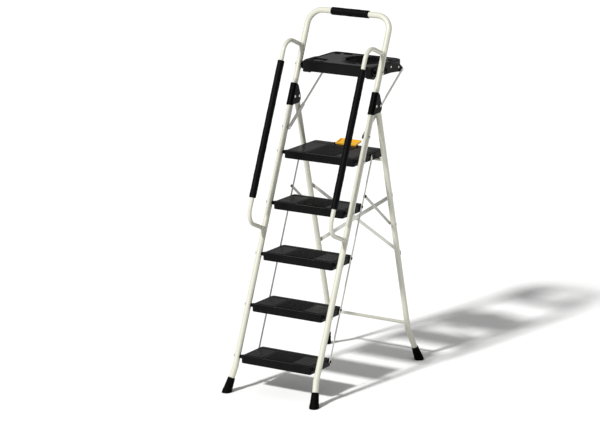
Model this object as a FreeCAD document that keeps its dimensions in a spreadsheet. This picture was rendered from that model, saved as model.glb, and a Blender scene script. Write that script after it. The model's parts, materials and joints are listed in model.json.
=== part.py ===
import FreeCAD, Part, Sketcher
import math
import os

# Step ladder: an inclined front frame with handrails, five pivoting steps, a hinged rear frame,
# a parallelogram of flat rods that folds the steps, and a top tray on two rigid struts.
# +Z up, the climber stands at -Y, +X to the climber's right. Millimetres.

DIMS = [
    ("tilt", 22.7, "front rails, degrees from upright"),
    ("leg_tilt", 14.9, "rear legs, degrees from upright"),
    ("shift", -488.0, "front feet, back from the origin"),
    ("half_width", 231.0, "rail centre from the middle"),
    ("tube_r", 15.0, "front tube radius"),
    ("tube_wall", 1.2, "tube wall"),
    ("leg_r", 14.0, "rear tube radius"),
    ("top_at", 1933.0, "top bar, along the rail"),
    ("top_bend", 76.0, "bend radius at the top bar"),
    ("flare_out", 18.0, "front foot, outward of the rail"),
    ("flare_at", 128.0, "front flare bend, along the rail"),
    ("flare_bend", 90.0, "bend radius of every flare"),
    ("foot_gap", 14.0, "tube end above the sole"),
    ("step_first", 182.5, "lowest step pivot, along the rail"),
    ("step_pitch", 256.4, "between step pivots"),
    ("tray_at", 1651.0, "tray guide pin, along the rail"),
    ("strut_at", 1332.0, "strut pin, along the rail"),
    ("hinge_at", 1500.0, "leg pivot, along the rail"),
    ("hinge_back", 38.0, "leg pivot, behind the rail"),
    ("leg_length", 1399.0, "leg pivot to tube end"),
    ("leg_flare_at", 1243.0, "rear flare bend below the pivot"),
    ("leg_flare_out", 44.0, "rear foot, outward of the leg"),
    ("rivet_r", 4.0, "pivot shank radius"),
    ("running", 0.08, "radial running fit"),
    ("arm_top", 1745.0, "upper handrail arm, along the rail"),
    ("arm_low", 819.0, "lower handrail arm, along the rail"),
    ("rail_reach", 167.0, "handrail, in front of the rail"),
    ("rail_r", 10.5, "handrail tube radius"),
    ("rail_bend", 66.0, "handrail bend radius"),
    ("grip_low", 940.0, "foam grip, lower end"),
    ("grip_high", 1629.0, "foam grip, upper end"),
    ("grip_r", 17.0, "foam grip radius"),
    ("step_half", 198.0, "half the step's width"),
    ("step_front", 22.0, "step, ahead of its pivot"),
    ("step_rear", 172.0, "step, behind its pivot"),
    ("deep_rear", 276.0, "top step, behind its pivot"),
    ("step_top", 12.0, "tread above the pivot"),
    ("step_tall", 38.0, "step height"),
    ("step_wall", 4.0, "moulded wall"),
    ("step_arm", 150.0, "rod pivot behind the step pivot"),
    ("bar_thick", 3.0, "flat bar thickness"),
    ("bar_half", 5.0, "half the rod's width"),
    ("rod_in", 202.0, "rod's inner face from the middle"),
    ("link_in", 209.0, "drag link's inner face from the middle"),
    ("link_half", 7.0, "half the drag link's width"),
    ("link_length", 306.566, "drag link, pivot to pivot"),
    ("link_turn", 52.3675, "drag link, degrees from upright"),
    ("link_down", 650.0, "drag link pivot, below the leg pivot"),
    ("strut_in", 208.0, "strut's inner face from the middle"),
    ("strut_half", 6.0, "half the strut's width"),
    ("strut_length", 465.584, "strut, pivot to pivot"),
    ("strut_turn", 54.508, "strut, degrees from upright"),
    ("tray_back", 256.0, "strut pivot behind the guide pin"),
    ("tray_down", 24.0, "strut pivot below the guide pin"),
    ("tray_turn", 61.84, "tray fold, degrees"),
    ("strut_fold", 28.86, "strut fold, degrees"),
    ("tray_half", 197.0, "half the tray's width"),
    ("tray_front", 26.0, "tray, ahead of the guide pin"),
    ("tray_rear", 282.0, "tray, behind the guide pin"),
    ("tray_top", 24.0, "tray top above the guide pin"),
    ("tray_tall", 50.0, "tray height"),
    ("plate_in", 203.0, "tray bracket's inner face from the middle"),
    ("bar_upper", 301.2, "upper crossbar below the leg pivot"),
    ("bar_lower", 1217.0, "lower crossbar below the leg pivot"),
    ("bar_back", 8.0, "crossbars behind the leg's axis"),
    ("cross_r", 8.0, "crossbar radius"),
    ("brace_high", 500.0, "brace, upper ends below the leg pivot"),
    ("brace_low", 815.0, "brace, lower ends below the leg pivot"),
]


class Size:
    """A length or angle that knows both its number and its spreadsheet formula."""

    def __init__(self, value, text):
        self.value, self.text = value, text

    def _join(self, other, sign, result):
        return Size(result, "(%s %s %s)" % (self.text, sign, other.text))

    def __add__(self, other):
        other = size(other)
        return self._join(other, "+", self.value + other.value)

    def __sub__(self, other):
        other = size(other)
        return self._join(other, "-", self.value - other.value)

    def __mul__(self, other):
        other = size(other)
        return self._join(other, "*", self.value * other.value)

    def __truediv__(self, other):
        other = size(other)
        return self._join(other, "/", self.value / other.value)

    def __radd__(self, other):
        return size(other) + self

    def __rsub__(self, other):
        return size(other) - self

    def __rmul__(self, other):
        return size(other) * self

    def __rtruediv__(self, other):
        return size(other) / self

    def __neg__(self):
        return size(0) - self


def size(value):
    return value if isinstance(value, Size) else Size(float(value), "%.6g" % value)


def sin(angle):
    return Size(math.sin(math.radians(angle.value)), "sin(%s * 1 deg)" % angle.text)


def cos(angle):
    return Size(math.cos(math.radians(angle.value)), "cos(%s * 1 deg)" % angle.text)


def tan(angle):
    return Size(math.tan(math.radians(angle.value)), "tan(%s * 1 deg)" % angle.text)


doc = FreeCAD.newDocument("step_ladder")
sheet = doc.addObject("Spreadsheet::Sheet", "sizes")
D = {}
for row, (alias, number, note) in enumerate(DIMS, start=1):
    sheet.set("A%d" % row, alias)
    sheet.set("B%d" % row, str(number))
    sheet.set("C%d" % row, note)
    sheet.setAlias("B%d" % row, alias)
    D[alias] = Size(number, "sizes." + alias)
doc.recompute()

NODES = []
SIDES = (("left", -1), ("right", 1))


# ---- frames of reference -------------------------------------------------------------------

def frame_rail():
    """Origin at the front feet, Z up the rail, Y square behind it."""
    return (size(0), D["shift"], size(0)), -D["tilt"]


def frame_leg():
    """Origin at the leg pivot, Z up the rear leg."""
    along, back, turn = D["hinge_at"], D["hinge_back"], D["tilt"]
    return (size(0), D["shift"] + along * sin(turn) + back * cos(turn),
            along * cos(turn) - back * sin(turn)), D["leg_tilt"]


def frame_step(number):
    """Origin on the pivot of a step, level."""
    along = D["step_first"] + D["step_pitch"] * (number - 1)
    return (size(0), D["shift"] + along * sin(D["tilt"]), along * cos(D["tilt"])), size(0)


def frame_rod():
    """Origin on the rod pivot of the middle step, Z along the rod."""
    base, _ = frame_step(3)
    return (base[0], base[1] + D["step_arm"], base[2]), -D["tilt"]


def frame_link():
    """Origin on the drag link's leg pivot, Z towards its rod pivot."""
    base, _ = frame_leg()
    down, turn = D["link_down"], D["leg_tilt"]
    return (base[0], base[1] + down * sin(turn), base[2] - down * cos(turn)), D["link_turn"]


def frame_strut():
    """Origin on the strut's rail pin, Z towards the tray."""
    return (size(0), D["shift"] + D["strut_at"] * sin(D["tilt"]),
            D["strut_at"] * cos(D["tilt"])), -D["strut_turn"]


def frame_tray():
    """Origin on the guide pin, level."""
    return (size(0), D["shift"] + D["tray_at"] * sin(D["tilt"]),
            D["tray_at"] * cos(D["tilt"])), size(0)


# ---- building blocks -----------------------------------------------------------------------

def place(item, frame):
    base, turn = frame
    item.Placement = FreeCAD.Placement(FreeCAD.Vector(*[part.value for part in base]),
                                       FreeCAD.Rotation(FreeCAD.Vector(1, 0, 0), turn.value))
    for axis, part in zip("xyz", base):
        item.setExpression("Placement.Base." + axis, part.text)


def body(label, frame):
    item = doc.addObject("PartDesign::Body", label)
    item.Label = label
    place(item, frame)
    NODES.append(item)
    return item


def sketch_on(item, role, start=0):
    start = size(start)
    plane = next(part for part in item.Origin.OriginFeatures if part.Role == role)
    sketch = item.newObject("Sketcher::SketchObject", item.Label + "_sketch")
    sketch.AttachmentSupport = [(plane, "")]
    sketch.MapMode = "FlatFace"
    sketch.AttachmentOffset = FreeCAD.Placement(FreeCAD.Vector(0, 0, start.value), FreeCAD.Rotation())
    sketch.setExpression("AttachmentOffset.Base.z", start.text)
    return sketch


def pin_point(sketch, geometry, end, point):
    for kind, part in zip(("DistanceX", "DistanceY"), point):
        index = sketch.addConstraint(Sketcher.Constraint(kind, -1, 1, geometry, end, part.value))
        sketch.setExpression("Constraints[%d]" % index, part.text)


def outline(sketch, points, arcs=None, closed=True):
    """Joins the points by lines, or by an arc where arcs gives (radius, side of its centre)."""
    arcs = arcs or {}
    points = [(size(a), size(b)) for a, b in points]
    count = len(points) if closed else len(points) - 1
    ids, swapped = [], []
    for index in range(count):
        first, last = points[index], points[(index + 1) % len(points)]
        start = FreeCAD.Vector(first[0].value, first[1].value, 0)
        finish = FreeCAD.Vector(last[0].value, last[1].value, 0)
        if index in arcs:
            radius, side = size(arcs[index][0]), arcs[index][1]
            middle, chord = (start + finish) * 0.5, finish - start
            square = FreeCAD.Vector(-chord.y, chord.x, 0).normalize() * side
            rise = math.sqrt(max(radius.value ** 2 - chord.Length ** 2 / 4, 0))
            centre = middle + square * rise
            crown = centre - square * radius.value
            geometry = sketch.addGeometry(Part.Arc(start, crown, finish))
            near = sketch.getPoint(geometry, 1)
            swapped.append((near - start).Length > (near - finish).Length)
            kind = "Radius" if rise > 1e-6 else "DistanceY"
            if kind == "Radius":
                bound = sketch.addConstraint(Sketcher.Constraint(kind, geometry, radius.value))
                sketch.setExpression("Constraints[%d]" % bound, radius.text)
            else:
                bound = sketch.addConstraint(Sketcher.Constraint(kind, -1, 1, geometry, 3, first[1].value))
                sketch.setExpression("Constraints[%d]" % bound, first[1].text)
        else:
            geometry = sketch.addGeometry(Part.LineSegment(start, finish))
            swapped.append(False)
        ids.append(geometry)
    for index, geometry in enumerate(ids):
        pin_point(sketch, geometry, 2 if swapped[index] else 1, points[index])
        if closed or index + 1 < count:
            follow = (index + 1) % count
            sketch.addConstraint(Sketcher.Constraint(
                "Coincident", geometry, 1 if swapped[index] else 2,
                ids[follow], 2 if swapped[follow] else 1))
        else:
            pin_point(sketch, geometry, 1 if swapped[index] else 2, points[-1])


def circle(sketch, centre, radius):
    centre, radius = (size(centre[0]), size(centre[1])), size(radius)
    geometry = sketch.addGeometry(Part.Circle(
        FreeCAD.Vector(centre[0].value, centre[1].value, 0), FreeCAD.Vector(0, 0, 1), radius.value))
    pin_point(sketch, geometry, 3, centre)
    index = sketch.addConstraint(Sketcher.Constraint("Radius", geometry, radius.value))
    sketch.setExpression("Constraints[%d]" % index, radius.text)


def rounded(sketch, low, high, left, right, radius_low, radius_high=None):
    """A rectangle between two corners, with its lower and upper corners rounded."""
    radius_high = radius_low if radius_high is None else radius_high
    low, high, left, right = size(low), size(high), size(left), size(right)
    a, b = size(radius_low), size(radius_high)
    points = [(left + a, low), (right - a, low), (right, low + a), (right, high - b),
              (right - b, high), (left + b, high), (left, high - b), (left, low + a)]
    outline(sketch, points, {1: (a, 1), 3: (b, 1), 5: (b, 1), 7: (a, 1)})


def feature(item, kind, sketch, length, both=False, flip=False):
    made = item.newObject("PartDesign::" + kind, item.Label + "_" + kind.lower())
    made.Profile = sketch
    length = size(length)
    made.Length = length.value
    made.setExpression("Length", length.text)
    made.Midplane = both
    made.Reversed = flip
    return made


def pad(item, sketch, length, both=False, flip=False):
    return feature(item, "Pad", sketch, length, both, flip)


def cut(item, sketch, length, both=False, flip=False):
    """A pocket that must really remove material."""
    doc.recompute()
    before = item.Shape.Volume
    made = feature(item, "Pocket", sketch, length, both, flip)
    doc.recompute()
    if item.Shape.Volume >= before - 1e-3:
        raise RuntimeError(item.Label + ": a pocket removed nothing")
    return made


def stadium(sketch, first, last, half):
    """A round-ended bar outline between two points one above the other."""
    half = size(half)
    (ax, ay), (_, by) = [(size(p[0]), size(p[1])) for p in (first, last)]
    outline(sketch, [(ax - half, ay), (ax + half, ay), (ax + half, by), (ax - half, by)],
            {0: (half, 1), 2: (half, 1)})


def flange(item, centre, layers):
    """Discs and shanks on one X axis: each layer is (from, to, radius), from inside to outside."""
    for near, far, radius in layers:
        near, far = size(near), size(far)
        low, high = (near, far) if near.value < far.value else (far, near)
        sketch = sketch_on(item, "YZ_Plane", low)
        circle(sketch, centre, radius)
        pad(item, sketch, high - low)


def round_edges(item, wanted, radius):
    """Fillets the edges that the test picks."""
    doc.recompute()
    names = ["Edge%d" % number for number, edge in enumerate(item.Shape.Edges, start=1) if wanted(edge)]
    made = item.newObject("PartDesign::Fillet", item.Label + "_fillet")
    made.Base = (item.Tip if item.Tip != made else made.BaseFeature, names)
    radius = size(radius)
    made.Radius = radius.value
    made.setExpression("Radius", radius.text)
    doc.recompute()
    return made


def pipe(item, profile, path):
    made = item.newObject("PartDesign::AdditivePipe", item.Label + "_pipe")
    made.Profile = profile
    made.Spine = (path, ["Edge%d" % number for number in range(1, path.GeometryCount + 1)])
    return made


def group(label, makers, frame):
    """Several like solids in one node: each is its own body, gathered by a compound."""
    parts = []
    for number, maker in enumerate(makers, start=1):
        item = doc.addObject("PartDesign::Body", "%s_%d" % (label, number))
        item.Label = "%s_%d" % (label, number)
        place(item, frame if not isinstance(frame, list) else frame[number - 1])
        maker(item)
        parts.append(item)
    gathered = doc.addObject("Part::Compound", label)
    gathered.Links = parts
    gathered.Label = label
    NODES.append(gathered)
    return gathered


# ---- front frame ---------------------------------------------------------------------------

half, tube, wall = D["half_width"], D["tube_r"], D["tube_wall"]
front_pivots = [D["step_first"] + D["step_pitch"] * n for n in range(5)]

frame_item = body("front_frame", frame_rail())
profile = sketch_on(frame_item, "YZ_Plane")
circle(profile, (0, D["top_at"]), tube)
circle(profile, (0, D["top_at"]), tube - wall)
path = sketch_on(frame_item, "XZ_Plane")
flare = Size(math.degrees(math.atan2(18.0, 128.0)), "atan(sizes.flare_out / sizes.flare_at) / 1 deg")
trim = D["flare_bend"] * tan(flare / 2)
top_bend = D["top_bend"]
outline(path, [(0, D["top_at"]), (half - top_bend, D["top_at"]), (half, D["top_at"] - top_bend),
               (half, D["flare_at"] + trim),
               (half + trim * sin(flare), D["flare_at"] - trim * cos(flare)),
               (half + (D["flare_at"] - D["foot_gap"]) * tan(flare), D["foot_gap"])],
        {1: (top_bend, -1), 3: (D["flare_bend"], 1)}, closed=False)
half_frame = pipe(frame_item, profile, path)
doc.recompute()
mirror = frame_item.newObject("PartDesign::Mirrored", "front_frame_mirror")
mirror.Originals = [half_frame]
mirror.MirrorPlane = (next(p for p in frame_item.Origin.OriginFeatures if p.Role == "YZ_Plane"), [""])
frame_item.Tip = mirror
drill = sketch_on(frame_item, "YZ_Plane")
for along in front_pivots + [D["tray_at"], D["strut_at"], D["hinge_at"] - 12]:
    circle(drill, (0, along), D["rivet_r"])
cut(frame_item, drill, half * 2 + 120, both=True)


def boot(item, side, centre_x, bend_z, slant, reach, tube_radius, floor, lean, tall):
    """A rubber boot turned about the flared tube's axis and cut level with the floor."""
    profile = sketch_on(item, "XZ_Plane")
    across, along = cos(slant), sin(slant)

    def at(radius, down):
        """A point beside the flared axis, measured square to it and down it from the bend."""
        radius, down = size(radius), size(down)
        return (side * (centre_x + along * down + across * radius),
                bend_z - across * down + along * radius)

    inner = tube_radius + 0.05
    outline(profile, [at(inner, reach - tall), at(tube_radius + 3, reach - tall),
                      at(tube_radius + 6, reach - 14), at(tube_radius + 9, reach + 4),
                      at(tube_radius + 9, reach + 40), at(0, reach + 40), at(0, reach + 0.05),
                      at(inner, reach + 0.05)])
    axis = profile.addGeometry(Part.LineSegment(
        FreeCAD.Vector(at(0, reach - 60)[0].value, at(0, reach - 60)[1].value, 0),
        FreeCAD.Vector(at(0, reach + 60)[0].value, at(0, reach + 60)[1].value, 0)), True)
    pin_point(profile, axis, 1, at(0, reach - 60))
    pin_point(profile, axis, 2, at(0, reach + 60))
    turned = item.newObject("PartDesign::Revolution", item.Label + "_turned")
    turned.Profile = profile
    turned.ReferenceAxis = (profile, ["Axis0"])
    turned.Angle = 360
    below = sketch_on(item, "YZ_Plane")
    outline(below, [(-80, floor - 80 * tan(lean)), (-80, floor - 200), (80, floor - 200),
                    (80, floor + 80 * tan(lean))])
    cut(item, below, 900, both=True)


front_reach = (D["flare_at"] - D["foot_gap"]) / cos(flare)
for name, side in SIDES:
    boot(body("front_boot_" + name, frame_rail()), side, half, D["flare_at"], flare, front_reach,
         tube, size(0), D["tilt"], 60)

grip = body("top_grip", frame_rail())
profile = sketch_on(grip, "YZ_Plane")
circle(profile, (0, D["top_at"]), tube + 4.5)
circle(profile, (0, D["top_at"]), tube + 0.05)
pad(grip, profile, 212, both=True)
round_edges(grip, lambda e: e.Curve.TypeId == "Part::GeomCircle" and e.Curve.Radius > 17, 1.5)

# Handrails: a bent tube on two arms square to the rail, with a foam sleeve.
for name, side in SIDES:
    rail = body("handrail_" + name, frame_rail())
    profile = sketch_on(rail, "XZ_Plane", tube + 0.2)
    circle(profile, (side * half, D["arm_top"]), D["rail_r"])
    circle(profile, (side * half, D["arm_top"]), D["rail_r"] - 1.5)
    path = sketch_on(rail, "YZ_Plane", side * half)
    reach, bend = -D["rail_reach"], D["rail_bend"]
    outline(path, [(-(tube + 0.2), D["arm_top"]), (reach + bend, D["arm_top"]),
                   (reach, D["arm_top"] - bend), (reach, D["arm_low"] + bend),
                   (reach + bend, D["arm_low"]), (-(tube + 0.2), D["arm_low"])],
            {1: (bend, 1), 3: (bend, 1)}, closed=False)
    pipe(rail, profile, path)
    doc.recompute()

    sleeve = body("handrail_grip_" + name, frame_rail())
    profile = sketch_on(sleeve, "XY_Plane", D["grip_low"])
    circle(profile, (side * half, -D["rail_reach"]), D["grip_r"])
    circle(profile, (side * half, -D["rail_reach"]), D["rail_r"] + 0.05)
    pad(sleeve, profile, D["grip_high"] - D["grip_low"])
    round_edges(sleeve, lambda e: e.Curve.TypeId == "Part::GeomCircle" and e.Curve.Radius > 15, 3)


def stub(side, along):
    def make(item):
        sketch = sketch_on(item, "XZ_Plane", tube + 0.1)
        circle(sketch, (side * half, along), D["rail_r"] - 1.55)
        pad(item, sketch, 34)
    return make


def collar(side, along):
    def make(item):
        sketch = sketch_on(item, "XZ_Plane", tube + 0.2)
        circle(sketch, (side * half, along), D["rail_r"] + 2.2)
        circle(sketch, (side * half, along), D["rail_r"] + 0.05)
        pad(item, sketch, 8)
    return make


def screw(side, along):
    def make(item):
        """A pan-head screw through the side of a handrail arm."""
        flange(item, (-36, along), [(side * (half + D["rail_r"]), side * (half + D["rail_r"] + 2), 4)])
    return make


arms = [(side, along) for _, side in SIDES for along in (D["arm_top"], D["arm_low"])]
group("handrail_stubs", [stub(*arm) for arm in arms], frame_rail())
group("handrail_collars", [collar(*arm) for arm in arms], frame_rail())
group("handrail_screws", [screw(*arm) for arm in arms], frame_rail())

# Hinge covers: an outer and an inner cheek that hold the rail and the leg's pivot pin, and a wrap
# that joins them round the front of the rail.
cheek = [(-9, 1441), (14, 1453), (44, 1466), (55, 1476), (57.5, 1488), (52, 1504), (12, 1548),
         (2, 1553), (-9, 1553)]
wrap = [(-17.6, -9), (-14, -13.5), (-8, -16.6), (0, -17.6), (8, -16.8), (14.5, -14.4), (18.2, -9),
        (15.2, -9), (11.2, -11.2), (5.8, -14.4), (0, -15.4), (-5.8, -14.4), (-11.2, -11.2), (-15.2, -9)]
for name, side in SIDES:
    for skin, near, far in (("outer", half + 15.2, half + 18.2), ("inner", half - 17.6, half - 15.2)):
        item = body("hinge_%s_cover_%s" % (skin, name), frame_rail())
        near, far = side * near, side * far
        low, high = (near, far) if near.value < far.value else (far, near)
        sketch = sketch_on(item, "YZ_Plane", low)
        outline(sketch, cheek)
        circle(sketch, (0, D["hinge_at"] - 12), D["rivet_r"])
        circle(sketch, (D["hinge_back"], D["hinge_at"]), 5)
        pad(item, sketch, high - low)
    item = body("hinge_front_cover_" + name, frame_rail())
    sketch = sketch_on(item, "XY_Plane", 1441)
    outline(sketch, [(side * (half + across), off) for across, off in wrap])
    pad(item, sketch, 112)


def rivet(side, centre, inner, outer, head_in, head_out, radius, cap):
    """A shank along X with a flat head at each end."""
    def make(item):
        layers = [(side * inner, side * outer, radius)]
        layers += [(side * (inner - head_in), side * inner, cap)] if head_in else []
        layers += [(side * outer, side * (outer + head_out), cap)] if head_out else []
        flange(item, centre, layers)
    return make


both = [side for _, side in SIDES]
group("hinge_rivets", [rivet(s, (0, D["hinge_at"] - 12), half - 17.6, half + 18.2, 1.2, 2,
                             D["rivet_r"], 6.5) for s in both], frame_rail())
group("leg_pivot_pins", [rivet(s, (D["hinge_back"], D["hinge_at"]), half - 17.6, half + 18.2, 1.2, 2,
                               5, 7) for s in both], frame_rail())
group("step_rivets", [rivet(s, (0, along), size(194.6), half + 15.2, 0, 2.4, D["rivet_r"], 7.5)
                      for along in front_pivots for s in both], frame_rail())
group("tray_guide_pins", [rivet(s, (0, D["tray_at"]), size(202.4), half + 15.2, 3, 2.4,
                                D["rivet_r"], 7) for s in both], frame_rail())
group("strut_pins", [rivet(s, (0, D["strut_at"]), size(207.7), half + 15.2, 2, 2.4, D["rivet_r"], 7)
                     for s in both], frame_rail())


def spacer(side, along, near, far, outer):
    def make(item):
        low, high = sorted((side * near, side * far))
        sketch = sketch_on(item, "YZ_Plane", low)
        circle(sketch, (0, along), outer)
        circle(sketch, (0, along), D["rivet_r"] + 0.05)
        pad(item, sketch, high - low)
    return make


group("pin_spacers", [spacer(s, D["tray_at"], 206.4, 215.9, 8) for s in both]
      + [spacer(s, D["strut_at"], 211.3, 215.9, 8) for s in both], frame_rail())

# ---- rear frame ----------------------------------------------------------------------------

leg_flare = Size(math.degrees(math.atan2(44.0, 175.0)), "atan(sizes.leg_flare_out / 175) / 1 deg")
leg_r = D["leg_r"]
trim = D["flare_bend"] * tan(leg_flare / 2)
leg_run = D["leg_length"] - D["leg_flare_at"]
for name, side in SIDES:
    leg = body("rear_leg_" + name, frame_leg())
    profile = sketch_on(leg, "XY_Plane", 10)
    circle(profile, (side * half, 0), leg_r)
    circle(profile, (side * half, 0), leg_r - 1.5)
    path = sketch_on(leg, "XZ_Plane")
    outline(path, [(side * half, 10), (side * half, -(D["leg_flare_at"] - trim)),
                   (side * (half + trim * sin(leg_flare)), -(D["leg_flare_at"] + trim * cos(leg_flare))),
                   (side * (half + leg_run * tan(leg_flare)), -D["leg_length"])],
            {1: (D["flare_bend"], side)}, closed=False)
    pipe(leg, profile, path)
    doc.recompute()
    drill = sketch_on(leg, "YZ_Plane", side * half)
    circle(drill, (0, 0), 5 + D["running"])
    circle(drill, (0, -D["link_down"]), 3)
    cut(leg, drill, 60, both=True)
    boot(body("rear_boot_" + name, frame_leg()), side, half, -D["leg_flare_at"], leg_flare,
         leg_run / cos(leg_flare), leg_r, -(frame_leg()[0][2] / cos(D["leg_tilt"])), -D["leg_tilt"], 52)

for label, down in (("upper_crossbar", D["bar_upper"]), ("lower_crossbar", D["bar_lower"])):
    bar = body(label, frame_leg())
    sketch = sketch_on(bar, "YZ_Plane")
    circle(sketch, (D["bar_back"], -down), D["cross_r"])
    circle(sketch, (D["bar_back"], -down), D["cross_r"] - 1.4)
    pad(bar, sketch, (half - 6) * 2, both=True)
    sketch = sketch_on(bar, "XY_Plane", -(down + 20))
    for side in both:
        circle(sketch, (side * half, 0), leg_r)
    cut(bar, sketch, 40, flip=True)

# Flat braces cross behind the legs, one layer behind the other.
brace_rise = D["brace_low"] - D["brace_high"]
brace_angle = Size(math.degrees(math.atan2(315.0, 462.0)),
                   "atan((sizes.brace_low - sizes.brace_high) / (2 * sizes.half_width)) / 1 deg")
for label, side, layer in (("rear_brace_a", 1, 0.1), ("rear_brace_b", -1, 3.3)):
    brace = body(label, frame_leg())
    sketch = sketch_on(brace, "XZ_Plane", -(leg_r + layer + D["bar_thick"]))
    wide = 9 / cos(brace_angle)
    low, high, edge = -D["brace_low"], -D["brace_high"], half + 8
    slope = 8 * tan(brace_angle)
    outline(sketch, [(-edge, low - slope - wide if side > 0 else high + slope - wide),
                     (edge, high + slope - wide if side > 0 else low - slope - wide),
                     (edge, high + slope + wide if side > 0 else low - slope + wide),
                     (-edge, low - slope + wide if side > 0 else high + slope + wide)])
    pad(brace, sketch, D["bar_thick"])


def brace_rivet(x, down, depth):
    def make(item):
        sketch = sketch_on(item, "XZ_Plane", -depth)
        circle(sketch, (x, -down), 5)
        pad(item, sketch, 2, flip=True)
    return make


middle_down = (D["brace_low"] + D["brace_high"]) / 2
near_layer, far_layer = leg_r + 0.1 + D["bar_thick"], leg_r + 3.3 + D["bar_thick"]
group("brace_rivets", [brace_rivet(half, D["brace_high"], near_layer),
                       brace_rivet(-half, D["brace_low"], near_layer),
                       brace_rivet(-half, D["brace_high"], far_layer),
                       brace_rivet(half, D["brace_low"], far_layer),
                       brace_rivet(size(0), middle_down, far_layer)], frame_leg())
group("link_pins", [rivet(s, (0, -D["link_down"]), size(208.7), half + 14.2, 2, 2, 3, 6)
                    for s in both], frame_leg())

# ---- steps ---------------------------------------------------------------------------------

arm, step_half, thick = D["step_arm"], D["step_half"], D["bar_thick"]
for number in range(1, 6):
    rear = D["deep_rear"] if number == 5 else D["step_rear"]
    under = D["step_top"] - D["step_tall"]
    step = body("step_%d" % number, frame_step(number))
    sketch = sketch_on(step, "XY_Plane", under)
    rounded(sketch, -D["step_front"], rear, -step_half, step_half, 12, 16)
    pad(step, sketch, D["step_tall"])
    top = D["step_top"].value + step.Placement.Base.z
    round_edges(step, lambda e: all(abs(v.Point.z - top) < 0.01 for v in e.Vertexes), 4)
    rim = top - D["step_tall"].value
    round_edges(step, lambda e: all(abs(v.Point.z - rim) < 0.01 for v in e.Vertexes), 4.5)
    sketch = sketch_on(step, "XY_Plane", under)
    rounded(sketch, D["step_wall"] - D["step_front"], rear - D["step_wall"],
            D["step_wall"] - step_half, step_half - D["step_wall"], 8, 12)
    cut(step, sketch, D["step_tall"] - D["step_wall"], flip=True)
    for across in (-120, -40, 40, 120):
        sketch = sketch_on(step, "YZ_Plane", across - 1.5)
        outline(sketch, [(-(D["step_front"] - 2), D["step_top"] - 14), (rear - 2, D["step_top"] - 14),
                         (rear - 2, D["step_top"] - 3), (-(D["step_front"] - 2), D["step_top"] - 3)])
        pad(step, sketch, 3)
    for side in both:
        flange(step, (0, 0), [(side * (step_half - 1), side * (step_half + 3.6), 12),
                              (side * (step_half + 3.5), side * (step_half + 8.6), 7),
                              (side * (step_half + 8.5), side * (step_half + 17.4), 9.5)])
    for centre, radius in (((0, 0), D["rivet_r"] + D["running"]), ((arm, 0), 2.5)):
        sketch = sketch_on(step, "YZ_Plane")
        circle(sketch, centre, radius)
        cut(step, sketch, 460, both=True)
    if number == 5:
        for across in (-66.5, 61.5):
            sketch = sketch_on(step, "YZ_Plane", across)
            stadium(sketch, (rear - 36, D["step_top"] - 2), (rear - 36, D["step_top"] + 5.5), 4.5)
            pad(step, sketch, 5)
        sketch = sketch_on(step, "YZ_Plane")
        circle(sketch, (rear - 36, D["step_top"] + 5.5), 2)
        cut(step, sketch, 150, both=True)
    group("step_%d_clips" % number,
          [rivet(s, (arm, 0), size(194.2), size(205.3), 0, 2, 2.5, 7) for s in both],
          frame_step(number))

# ---- rods and drag links -------------------------------------------------------------------

for name, side in SIDES:
    rod = body("rod_" + name, frame_rod())
    start = side * D["rod_in"] if side > 0 else -(D["rod_in"] + thick)
    sketch = sketch_on(rod, "YZ_Plane", start)
    stadium(sketch, (0, D["step_pitch"] * -2), (0, D["step_pitch"] * 2), D["bar_half"])
    for number in range(-2, 3):
        circle(sketch, (0, D["step_pitch"] * number), 2.5 + D["running"])
    pad(rod, sketch, thick)

    link = body("drag_link_" + name, frame_link())
    start = side * D["link_in"] if side > 0 else -(D["link_in"] + thick)
    sketch = sketch_on(link, "YZ_Plane", start)
    stadium(sketch, (0, 0), (0, D["link_length"]), D["link_half"])
    circle(sketch, (0, 0), 3 + D["running"])
    circle(sketch, (0, D["link_length"]), 3)
    pad(link, sketch, thick)

    cap = body("drag_link_button_" + name, frame_link())
    flange(cap, (0, D["link_length"]), [(side * 205.6, side * 208.95, 7.5),
                                        (side * 208.9, side * 212.1, 3), (side * 212.05, side * 214, 7.5)])

# ---- tray and struts -----------------------------------------------------------------------

tray = body("tray", frame_tray())
tray_under, deck = D["tray_top"] - D["tray_tall"], D["tray_top"] - 5
t_front, t_rear, t_half = -D["tray_front"], D["tray_rear"], D["tray_half"]
sketch = sketch_on(tray, "XY_Plane", deck)
rounded(sketch, t_front, t_rear, -t_half, t_half, 12, 34)
pad(tray, sketch, 5)
top = D["tray_top"].value + tray.Placement.Base.z
round_edges(tray, lambda e: all(abs(v.Point.z - top) < 0.01 for v in e.Vertexes), 4.5)
sketch = sketch_on(tray, "XY_Plane", D["tray_top"] - 6)
circle(sketch, (52, 150), 92)
circle(sketch, (-150, 236), 14)
circle(sketch, (165, 215), 13)
rounded(sketch, 236, 262, -118, -72, 12)
cut(tray, sketch, 12, flip=True)
sketch = sketch_on(tray, "XY_Plane", D["tray_top"] - 2.5)
rounded(sketch, 2, 66, -172, -104, 9)
cut(tray, sketch, 6, flip=True)

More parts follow.
